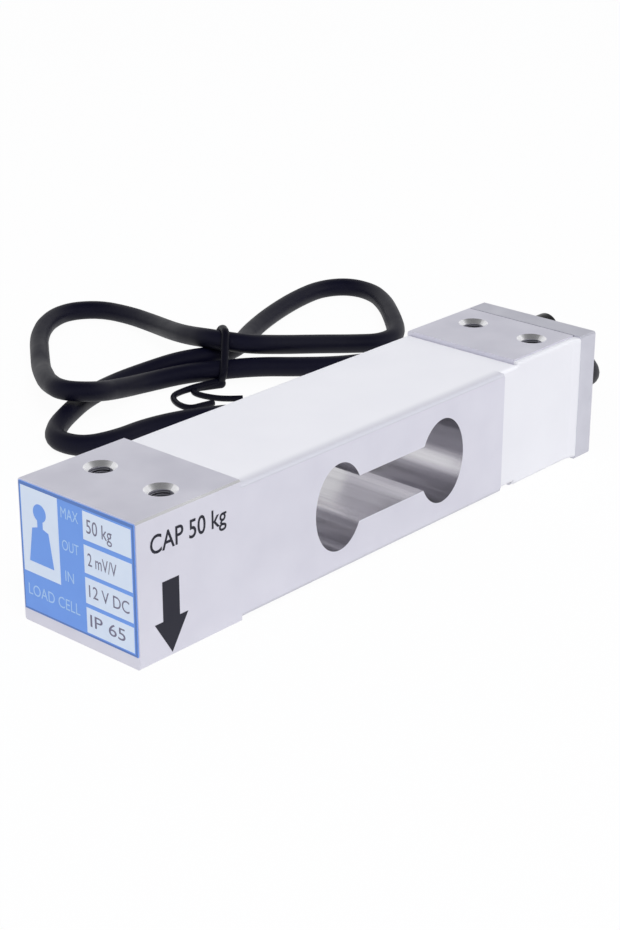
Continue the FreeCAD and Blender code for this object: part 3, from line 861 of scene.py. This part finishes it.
@dataclass
class RatingLabel(SubAssembly):
    """The printed film on the live end, with generic words.

    The border is rule wide times rule_shares, at its left, right, foot and top. The weight sign stands
    sign_share of the white panel's height above its foot.
    """

    finishes: Dict[str, Finish] = field(default_factory=lambda: {"rating_label": BLUE_VINYL})
    face_x: float = -135.7
    left: float = 16.35
    foot: float = 2.8
    width: float = 32.7
    height: float = 27.8
    film: float = 0.02
    rule: float = 0.4
    rule_shares: Sides = (0.6, 1.4, 1.0, 1.7)
    panel: Sides = (0.5, 11.3, 8.6, 27.1)
    sign: BalanceWeight = BalanceWeight()
    sign_share: float = 0.14
    cell_sides: Span = (18.5, 31.9)
    cell_spans: Tuple[Span, ...] = ((20.7, 26.7), (13.6, 19.6), (7.1, 12.7), (0.7, 6.2))
    pale_words: Tuple[Words, ...] = (
        Words("MAX", 12.2, 17.2, 23.4, 2.3), Words("OUT", 12.2, 17.0, 16.6, 2.2),
        Words("IN", 12.7, 15.2, 10.0, 2.2), Words("LOAD CELL", 1.4, 16.6, 3.6, 2.4))
    dark_words: Tuple[Words, ...] = (
        Words("50 kg", 19.5, 26.6, 22.3, 2.9), Words("2 mV/V", 19.5, 27.6, 15.4, 2.7),
        Words("12 V DC", 19.5, 30.8, 8.7, 2.6), Words("IP 65", 19.5, 29.4, 2.3, 2.6))

    def on_face(self, across: float, up: float, raised: float) -> Vector:
        """Returns a point of the label from its left foot, raised over the film, in metres."""
        return Vector((self.face_x - raised, self.left - across, self.foot + up)) * MM

    def build(self) -> None:
        """Prints the border, the white fields, the weight sign and the words."""
        left, right, foot, top = (share * self.rule for share in self.rule_shares)
        outer = box_outline(0, self.width, 0, self.height)
        inner = box_outline(left, self.width - right, foot, self.height - top)
        whites = [box_outline(*self.panel)]
        whites += [box_outline(*self.cell_sides, low, high) for low, high in self.cell_spans]
        a0, a1, b0, b1 = self.panel
        sign = self.sign.outline((a0 + a1) / 2, b0 + (b1 - b0) * self.sign_share)
        once, twice = self.film, 2 * self.film
        Print(self.on_face, 0, once, BORDER_VINYL).border("label_border", outer, inner)
        Print(self.on_face, 0, once, WHITE_VINYL).plates("label_white_fields", whites)
        Print(self.on_face, once, twice, BLUE_VINYL).plates("label_weight_sign", [sign])
        Print(self.on_face, 0, once, PALE_PRINT).words("label_pale_words", self.pale_words)
        Print(self.on_face, once, twice, DARK_PRINT).words("label_dark_words", self.dark_words)


@dataclass
class SiliconeSkins(SubAssembly):
    """The poured white covers over the gauges and over the wiring pocket.

    The seal reaches tuck into the covers and the end plate, and climbs the plate in a fillet that is
    fillet long and fillet_rise high. wave is the height of the slow waves, and wave_scale how many there
    are to a millimetre. The grid's lines lie edge_rows from each edge, and spacing apart elsewhere.
    """

    live_pad: float = -107.3
    fixed_pad: float = -14.9
    step: float = -21.1
    front: float = -16.72
    back: float = 16.5
    step_front: float = -15.8
    web_top: float = 29.2
    cover: float = 0.8
    seal: float = 1.2
    seal_y: float = -14.55
    plate: float = 8.7
    margin: float = 0.4
    tuck: float = 0.6
    fillet: float = 2.8
    fillet_rise: float = 0.95
    fillet_rows: int = 7
    edge_round: float = 0.6
    wave: float = 0.03
    wave_scale: float = 0.09
    spacing: float = 3.0
    edge_rows: Tuple[float, ...] = (0.0, 0.1, 0.25, 0.5, 1.0)

    def build(self) -> None:
        """Pours the two gauge covers and the pocket's seal."""
        for name, place, notch, node in (
                ("poured_top_cover", self.on_top, self.step_front, "top_gauge_cover"),
                ("poured_bottom_cover", self.on_bottom, self.seal_y, "bottom_gauge_cover")):
            sheet = [(self.live_pad, self.front), (self.step, self.front), (self.step, notch),
                     (self.fixed_pad, notch), (self.fixed_pad, self.back), (self.live_pad, self.back)]
            self.pour(name, sheet, place, self.cover, node, COVER_SILICONE)
        under = self.web_top + self.tuck
        low, high = BEAM_HEIGHT - under, BEAM_HEIGHT - self.margin
        end = self.plate + self.tuck
        face = [(self.step, low), (self.fixed_pad, low), (self.fixed_pad, self.margin),
                (end, self.margin), (end, high),
                (self.fixed_pad, high), (self.fixed_pad, under), (self.step, under)]
        self.pour("poured_pocket_seal", face, self.on_step, self.seal, "pocket_seal", POURED_SILICONE)

    def on_top(self, x: float, y: float, up: float) -> Vector:
        """Returns a point over the upper web, in metres."""
        return Vector((x, y, self.web_top + up)) * MM

    def on_bottom(self, x: float, y: float, up: float) -> Vector:
        """Returns a point under the lower web, in metres."""
        return Vector((x, y, BEAM_HEIGHT - self.web_top - up)) * MM

    def on_step(self, x: float, z: float, up: float) -> Vector:
        """Returns a point in front of the milled-back step, in metres."""
        return Vector((x, self.seal_y - up, z)) * MM

    def swell(self, x: float) -> float:
        """Returns how much higher the seal stands at x, where it climbs the end plate in a fillet."""
        share = min(1.0, max(0.0, 1 - (self.plate - x) / self.fillet))
        return self.fillet_rise * share * share

    def stations(self, corners: Sequence[float]) -> List[float]:
        """Spreads grid lines between an outline's corners, closer together at the edges.

        Args:
            corners: the outline's coordinates along one axis.

        Returns:
            The grid's coordinates, in order.
        """
        lines = set()
        stops = sorted(set(corners))
        for low, high in zip(stops, stops[1:]):
            inner = [row for row in self.edge_rows if row < (high - low) / 2]
            count = max(1, round((high - low) / self.spacing))
            spread = [low + row for row in inner] + [high - row for row in inner]
            spread += [low + (high - low) * k / count for k in range(count + 1)]
            lines.update(round(line, GRID_DIGITS) for line in spread)
        return sorted(lines)

    def pour(self, name: str, outline: Outline, place: Place, depth: float, node: str,
             finish: Finish) -> None:
        """Builds one skin as a closed solid with rounded edges and slow waves.

        Args:
            name: the piece's name.
            outline: its edge.
            place: takes the outline's axes and a height to the row frame.
            depth: its thickness.
            node: the plain solid that it stands for.
            finish: the silicone.
        """
        climb = [round(self.plate - self.fillet * k / self.fillet_rows, GRID_DIGITS)
                 for k in range(self.fillet_rows)]
        reach = max(a for a, _ in outline)
        lines_a = sorted(set(self.stations([a for a, _ in outline]) + [a for a in climb if a < reach]))
        lines_b = self.stations([b for _, b in outline])
        form = bmesh.new()
        spots: Dict[Point2, Corner] = {}
        feet: Dict[Corner, Corner] = {}

        def spot(a: float, b: float) -> Corner:
            """Finds or makes the skin's upper point, and the foot under it, at one crossing of the grid.

            Args:
                a: the crossing's first coordinate.
                b: its second.

            Returns:
                The upper point.
            """
            if (a, b) not in spots:
                fall = max(0.0, 1 - edge_distance(a, b, outline) / self.edge_round)
                round_off = self.edge_round * (1 - math.sqrt(max(0.0, 1 - fall * fall)))
                where = Vector((a * self.wave_scale, b * self.wave_scale, depth))
                wave = self.wave * noise.noise(where) * (1 - fall)
                spots[(a, b)] = form.verts.new(place(a, b, depth - round_off + wave + self.swell(a)))
                feet[spots[(a, b)]] = form.verts.new(place(a, b, 0))
            return spots[(a, b)]

        for a0, a1 in zip(lines_a, lines_a[1:]):
            for b0, b1 in zip(lines_b, lines_b[1:]):
                if self.holds((a0 + a1) / 2, (b0 + b1) / 2, outline):
                    form.faces.new((spot(a0, b0), spot(a1, b0), spot(a1, b1), spot(a0, b1)))
        skin = form.faces[:]
        for face in skin:
            face.smooth = True
        for edge in [e for e in form.edges if e.is_boundary]:
            one, two = edge.verts
            form.faces.new((one, two, feet[two], feet[one]))
        for face in skin:
            form.faces.new([feet[vert] for vert in face.verts])
        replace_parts(piece_from(name, form, finish), node)

    @staticmethod
    def holds(a: float, b: float, outline: Outline) -> bool:
        """Finds whether a point lies inside an outline.

        Args:
            a: the point's first coordinate.
            b: its second.
            outline: the closed outline's corners.

        Returns:
            Whether it does.
        """
        inside = False
        for (a0, b0), (a1, b1) in zip(outline, list(outline[1:]) + [outline[0]]):
            if (b0 > b) != (b1 > b) and a < a0 + (b - b0) * (a1 - a0) / (b1 - b0):
                inside = not inside
        return inside


@dataclass
class CableEnd(SubAssembly):
    """End plate, gasket, screws and gland."""

    finishes: Dict[str, Finish] = field(default_factory=lambda: {
        "end_plate": PLATE_ALUMINIUM, "end_gasket": SILICONE_SHEET, "end_plate_screws": BLACK_OXIDE,
        "gland_washer": MOULDED_RUBBER, "gland_body": MOULDED_NYLON, "gland_grommet": MOULDED_RUBBER,
        "gland_nut": MOULDED_NYLON})


@dataclass
class Wiring(SubAssembly):
    """Gauges, ribbons, bridge board and inner cores under the silicone."""

    finishes: Dict[str, Finish] = field(default_factory=lambda: {
        "strain_gauge_top_live": POLYIMIDE, "strain_gauge_top_fixed": POLYIMIDE,
        "strain_gauge_bottom_live": POLYIMIDE, "strain_gauge_bottom_fixed": POLYIMIDE,
        "top_gauge_ribbon": POLYIMIDE, "bottom_gauge_ribbon": POLYIMIDE, "bridge_board": SOLDER_MASK,
        "trim_resistors": GLAZED_CHIP, "solder_terminals": TINNED_COPPER, "inner_cores": CORE_WHITE})


@dataclass
class CableHank(SubAssembly):
    """The cable on its route, with its bare end; on_cable names the pieces that are fixed to it."""

    finishes: Dict[str, Finish] = field(default_factory=lambda: {
        "core_red": CORE_RED, "core_black": CORE_BLACK, "core_green": CORE_GREEN,
        "core_white": CORE_WHITE, "shield_drain": TINNED_COPPER, "core_tips": TINNED_COPPER})
    diameter: float = 5.2
    length: float = 673.2
    exit: Point3 = (26.0, 0.0, 15.5)
    route: Tuple[Point3, ...] = (
        (18, 0, 15.5), (28.5, 0, 15.5),
        (36.5, 0.6, 13.4), (43, 2.6, 7.8), (48, 8.5, 4), (52, 18.5, 2.9), (53.5, 30, 2.7),
        (47, 45.3, 2.7), (37, 53.5, 2.7), (26.5, 58.2, 2.7), (15, 63.7, 2.9), (5.3, 70, 3.7),
        (-3, 77, 4.3), (-11.5, 83, 4.2), (-18.5, 89.4, 3.4), (-28.3, 92.8, 2.9), (-40, 91.4, 4.6),
        (-51, 87.4, 7.8), (-57.8, 92.8, 8.6), (-53, 103.7, 7), (-46.5, 112.5, 4.8),
        (-40, 121.5, 2.9), (-32.2, 131, 2.7), (-23, 142, 2.7), (-12.5, 150.5, 2.7),
        (-2.5, 153.5, 2.7), (5.5, 148, 2.7), (7, 137, 2.9), (4, 124, 4), (-1.5, 111, 6.2),
        (-7, 99, 9), (-9, 88.5, 11), (-3.5, 81, 9.8), (6.5, 77.8, 7.8), (18, 75, 5.7), (28.5, 71.8, 3.8),
        (37, 67.6, 2.9), (45.8, 69.4, 2.7), (56.2, 79.8, 2.7), (65.5, 90.5, 2.7), (71, 100, 2.7),
        (70.5, 109, 2.7), (63, 113.5, 2.7), (52, 112.3, 2.7), (40, 109.2, 2.7), (27.5, 104.8, 2.7),
        (15.5, 98.6, 3.4), (4.5, 90.8, 5), (-6.5, 88, 5.9), (-14.4, 94.6, 4.9), (-23, 98.5, 3.2),
        (-34, 99.2, 2.7), (-46.5, 96.5, 2.7), (-56, 92, 2.7), (-65, 87, 2.7), (-71.5, 80.5, 2.7),
        (-70, 72, 2.7), (-61.5, 69.3, 2.7), (-51, 69.5, 2.7), (-40, 66.5, 2.7), (-29.5, 60.5, 2.7),
        (-20.5, 53, 2.7),
    )
    on_cable: Tuple[str, ...] = (
        "gland_washer", "gland_body", "gland_grommet", "gland_nut", "wire_tie", "core_red", "core_black",
        "core_green", "core_white", "shield_drain", "core_tips")

    def build(self) -> None:
        """Lays the cable as one smooth spline along its route."""
        curve = laid_curve("cable_jacket", self.route, self.diameter)
        jacket = add_piece("cable_jacket", curve, EXTRUDED_PVC)
        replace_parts(jacket, "cable")


@dataclass
class HankTie(SubAssembly):
    """The sleeved wire tie drawn round the three strands, with its twisted ends.

    strands are the points that the band is drawn round, across the tie and up; the band keeps reach off
    them, and leans by lean for each millimetre over or under lean_height.
    """

    centre: Point2 = (-8.0, 86.5)
    heading_deg: float = 146.0
    strands: Tuple[Point2, ...] = ((-5.1, 4.2), (4.3, 5.7), (1.2, 10.2), (-0.3, 10.2))
    lean: float = -0.23
    lean_height: float = 7.0
    reach: float = 3.4
    half_thick: float = 0.75
    half_wide: float = 1.05
    turn_steps: int = 60
    section_steps: int = 16
    longest_step: float = 0.9
    tail_radius: float = 0.8
    tail_swell: Tuple[float, ...] = (1.4, 1.25)
    twist: Point3 = (-13.2, 80.9, 1.4)
    twist_radius: float = 1.35
    twist_splits: int = 3
    tails: Tuple[Tuple[Point3, ...], ...] = (
        ((-13.4, 81.1, 1.7), (-18.5, 83.4, 1.5), (-23.5, 84.8, 1.1), (-27.4, 84.6, 0.9),
         (-30.2, 80.9, 0.9), (-31.2, 77, 0.9), (-30.3, 74.5, 0.9), (-27.3, 74, 0.9), (-23.8, 73.2, 0.9)),
        ((-13.2, 80.8, 1.2), (-16.5, 82.6, 1), (-19.8, 84, 0.9), (-22.1, 82.4, 0.9),
         (-22.2, 78.8, 0.9), (-20.9, 74.6, 0.9), (-18.6, 71.6, 0.9), (-16.5, 69.8, 0.9)))

    def build(self) -> None:
        """Builds the band, the knot that its ends are twisted into, and its tails as one piece."""
        form = bmesh.new()
        self.add_band(form)
        for points in self.tails:
            self.add_tail(form, points)
        bmesh.ops.create_icosphere(form, subdivisions=self.twist_splits, radius=self.twist_radius * MM,
                                   matrix=Matrix.Translation(Vector(self.twist) * MM))
        bmesh.ops.remove_doubles(form, verts=form.verts[:], dist=SAME_SPOT)
        tie = piece_from("wire_tie", form, TIE_PVC)
        tie.data.shade_smooth()
        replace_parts(tie, "cable_tie")

    def ring_spots(self) -> List[Tuple[Vector, Vector]]:
        """Draws the band's middle line round the strands, in the tie's own plane.

        Returns:
            Its points, each with its outward direction.
        """
        spots: List[Tuple[Vector, Vector]] = []
        turns = [2 * math.pi * k / self.turn_steps for k in range(self.turn_steps)]
        for turn in turns + turns[:1]:
            out = Vector((math.cos(turn), math.sin(turn)))
            held = max((Vector(s) for s in self.strands), key=lambda s: s.dot(out))
            spot = held + out * self.reach
            if spots:
                gap = spot - spots[-1][0]
                steps = math.ceil(gap.length / self.longest_step)
                spots += [(spots[-1][0] + gap * (k / steps), out) for k in range(1, steps)]
            spots.append((spot, out))
        return spots[:-1]

    def add_band(self, form: Form) -> None:
        """Adds the band: a closed loop of an oval section round the strands.

        Args:
            form: the form in the making.
        """
        heading = math.radians(self.heading_deg)
        through = Vector((math.cos(heading), math.sin(heading), 0))
        level = Vector((through.y, -through.x, 0))
        upright = Vector((0, 0, 1))
        rings = []
        for spot, out in self.ring_spots():
            shift = self.lean * (spot.y - self.lean_height)
            middle = Vector((*self.centre, 0)) + level * spot.x + upright * spot.y + through * shift
            outward = level * out.x + upright * out.y
            ring = []
            for k in range(self.section_steps):
                turn = 2 * math.pi * k / self.section_steps
                thick, wide = self.half_thick * math.cos(turn), self.half_wide * math.sin(turn)
                ring.append(form.verts.new((middle + outward * thick + through * wide) * MM))
            rings.append(ring)
        join_rings(form, rings + rings[:1])

    def add_tail(self, form: Form, points: Sequence[Point3]) -> None:
        """Adds one twisted end: a round wire, thicker where the two are twisted together.

        Args:
            form: the form in the making.
            points: the wire's route.
        """
        curve = laid_curve("tie_tail", points, 2 * self.tail_radius)
        for point, swell in zip(curve.splines[0].points, self.tail_swell):
            point.radius = swell
        mesh = mesh_of(curve)
        form.from_mesh(mesh)
        bpy.data.meshes.remove(mesh)


@dataclass
class Lamp:
    """One soft box: its stand, its aim, its width and power, and whether metal mirrors it; in metres."""

    name: str
    stand: Point3
    aim: Point3
    width: float
    power: float
    mirrored: bool = True

    def build(self) -> None:
        """Sets the lamp up."""
        light = bpy.data.lights.new(self.name, "AREA")
        light.shape = "SQUARE"
        light.size = self.width
        light.energy = self.power
        lamp = into_scene(self.name, light)
        lamp.location = self.stand
        lamp.visible_glossy = self.mirrored
        lamp.rotation_euler = (Vector(self.aim) - Vector(self.stand)).to_track_quat("-Z", "Y").to_euler()


@dataclass
class Studio:
    """White floor, white surroundings, soft boxes and the camera at the photograph's view; in metres.

    The surroundings dim to ceiling over ceiling_rise, and further by zenith over zenith_rise. A rise is
    the upward share of a direction.
    """

    floor_half: float = 4.0
    floor_colour: str = "#f4f4f6"
    floor_roughness: float = 0.9
    floor_specular: float = 0.1
    seen_share: float = 0.96
    ambient: float = 0.55
    ambient_colour: str = "#f5f6ff"
    seen_colour: str = "#ffffff"
    ceiling: float = 0.79
    ceiling_rise: Span = (0.05, 0.3)
    zenith: float = 0.2
    zenith_rise: Span = (0.55, 0.85)
    camera_at: Point3 = (-0.3676, -0.2683, 0.1840)
    camera_turn_deg: Point3 = (67.5, -0.0545, -48.1075)
    lens_mm: float = 77.8
    sensor_mm: float = 36.0
    clip_start: float = 0.01
    lamps: Tuple[Lamp, ...] = (
        Lamp("key_soft_box", (-0.55, -1.05, 1.51), (-0.06, 0.0, 0.01), 1.0, 19.7, mirrored=False),
        Lamp("low_soft_box", (1.0, -0.95, 0.4), (-0.05, 0.0, 0.015), 0.8, 1.5),
    )

    def build(self) -> None:
        """Builds the floor, the world, the lamps and the camera."""
        self.lay_floor()
        self.light_world()
        for lamp in self.lamps:
            lamp.build()
        self.set_camera()

    @staticmethod
    def seen_ray(tree: Tree) -> Socket:
        """Tells what the camera sees, straight, mirrored or through glass, from what only lights.

        Args:
            tree: the floor's or the world's nodes.

        Returns:
            A socket that is 1 for what is seen.
        """
        ray = add_node(tree, "ShaderNodeLightPath").outputs
        seen = ray["Is Camera Ray"]
        for other in ("Is Glossy Ray", "Is Transmission Ray"):
            seen = add_node(tree, "ShaderNodeMath", {
                0: seen, 1: ray[other]}, operation="MAXIMUM").outputs[0]
        return seen

    def lay_floor(self) -> None:
        """Lays a pale floor that reads as white and keeps the object's shadow."""
        half = self.floor_half
        mesh = bpy.data.meshes.new("studio_floor")
        corners = [(x, y, 0.0) for x, y in box_outline(-half, half, -half, half)]
        mesh.from_pydata(corners, [], [range(len(corners))])
        material = bpy.data.materials.new("painted_white_board")
        material.use_nodes = True
        tree = material.node_tree
        paint = tree.nodes["Principled BSDF"]
        paint.inputs["Base Color"].default_value = linear(self.floor_colour)
        paint.inputs["Roughness"].default_value = self.floor_roughness
        paint.inputs["Specular IOR Level"].default_value = self.floor_specular
        glow = add_node(tree, "ShaderNodeEmission", {"Color": linear(self.seen_colour), "Strength": 1.0})
        share = add_node(tree, "ShaderNodeMath", {
            0: self.seen_ray(tree), 1: self.seen_share}, operation="MULTIPLY")
        both = add_node(tree, "ShaderNodeMixShader", {
            0: share.outputs[0], 1: paint.outputs[0], 2: glow.outputs[0]})
        tree.links.new(both.outputs[0], tree.nodes["Material Output"].inputs["Surface"])
        mesh.materials.append(material)
        into_scene("studio_floor", mesh)

    def light_world(self) -> None:
        """Surrounds the object with white, darker overhead; only camera and mirrors see it in full."""
        world = bpy.data.worlds.new("white_studio")
        world.use_nodes = True
        tree = world.node_tree
        tree.nodes.clear()
        lit = add_node(tree, "ShaderNodeBackground", {
            "Color": linear(self.ambient_colour), "Strength": self.ambient})
        direction = add_node(tree, "ShaderNodeTexCoord").outputs["Generated"]
        rise = add_node(tree, "ShaderNodeSeparateXYZ", {0: direction}).outputs[2]
        glow: Any = 1.0
        for (low, high), dimmed in ((self.ceiling_rise, self.ceiling), (self.zenith_rise, self.zenith)):
            fade = add_node(tree, "ShaderNodeMapRange", {
                "Value": rise, "From Min": low, "From Max": high, "To Min": 1.0, "To Max": dimmed})
            glow = add_node(tree, "ShaderNodeMath", {
                0: glow, 1: fade.outputs["Result"]}, operation="MULTIPLY").outputs[0]
        seen = add_node(tree, "ShaderNodeBackground", {
            "Color": linear(self.seen_colour), "Strength": glow})
        both = add_node(tree, "ShaderNodeMixShader", {
            0: self.seen_ray(tree), 1: lit.outputs[0], 2: seen.outputs[0]})
        add_node(tree, "ShaderNodeOutputWorld", {"Surface": both.outputs[0]})
        bpy.context.scene.world = world

    def set_camera(self) -> None:
        """Stands the camera where the photograph was taken from."""
        view = bpy.data.cameras.new("camera")
        view.lens = self.lens_mm
        view.sensor_width = self.sensor_mm
        view.clip_start = self.clip_start
        camera = into_scene("camera", view)
        camera.location = self.camera_at
        camera.rotation_euler = Euler([math.radians(a) for a in self.camera_turn_deg], "XYZ")
        bpy.context.scene.camera = camera


def main() -> None:
    """Builds the load cell's sub-assemblies in order, then the studio."""
    logging.basicConfig(level=logging.INFO, format="%(message)s")
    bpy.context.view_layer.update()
    bpy.context.scene.view_settings.view_transform = "Standard"
    for part in (HankTie(), CableHank(), BeamBody(), SiliconeSkins(), SidePrint(), RatingLabel(),
                 CableEnd(), Wiring()):
        part.build()
        part.dress()
    Studio().build()


if __name__ == "__main__":
    main()
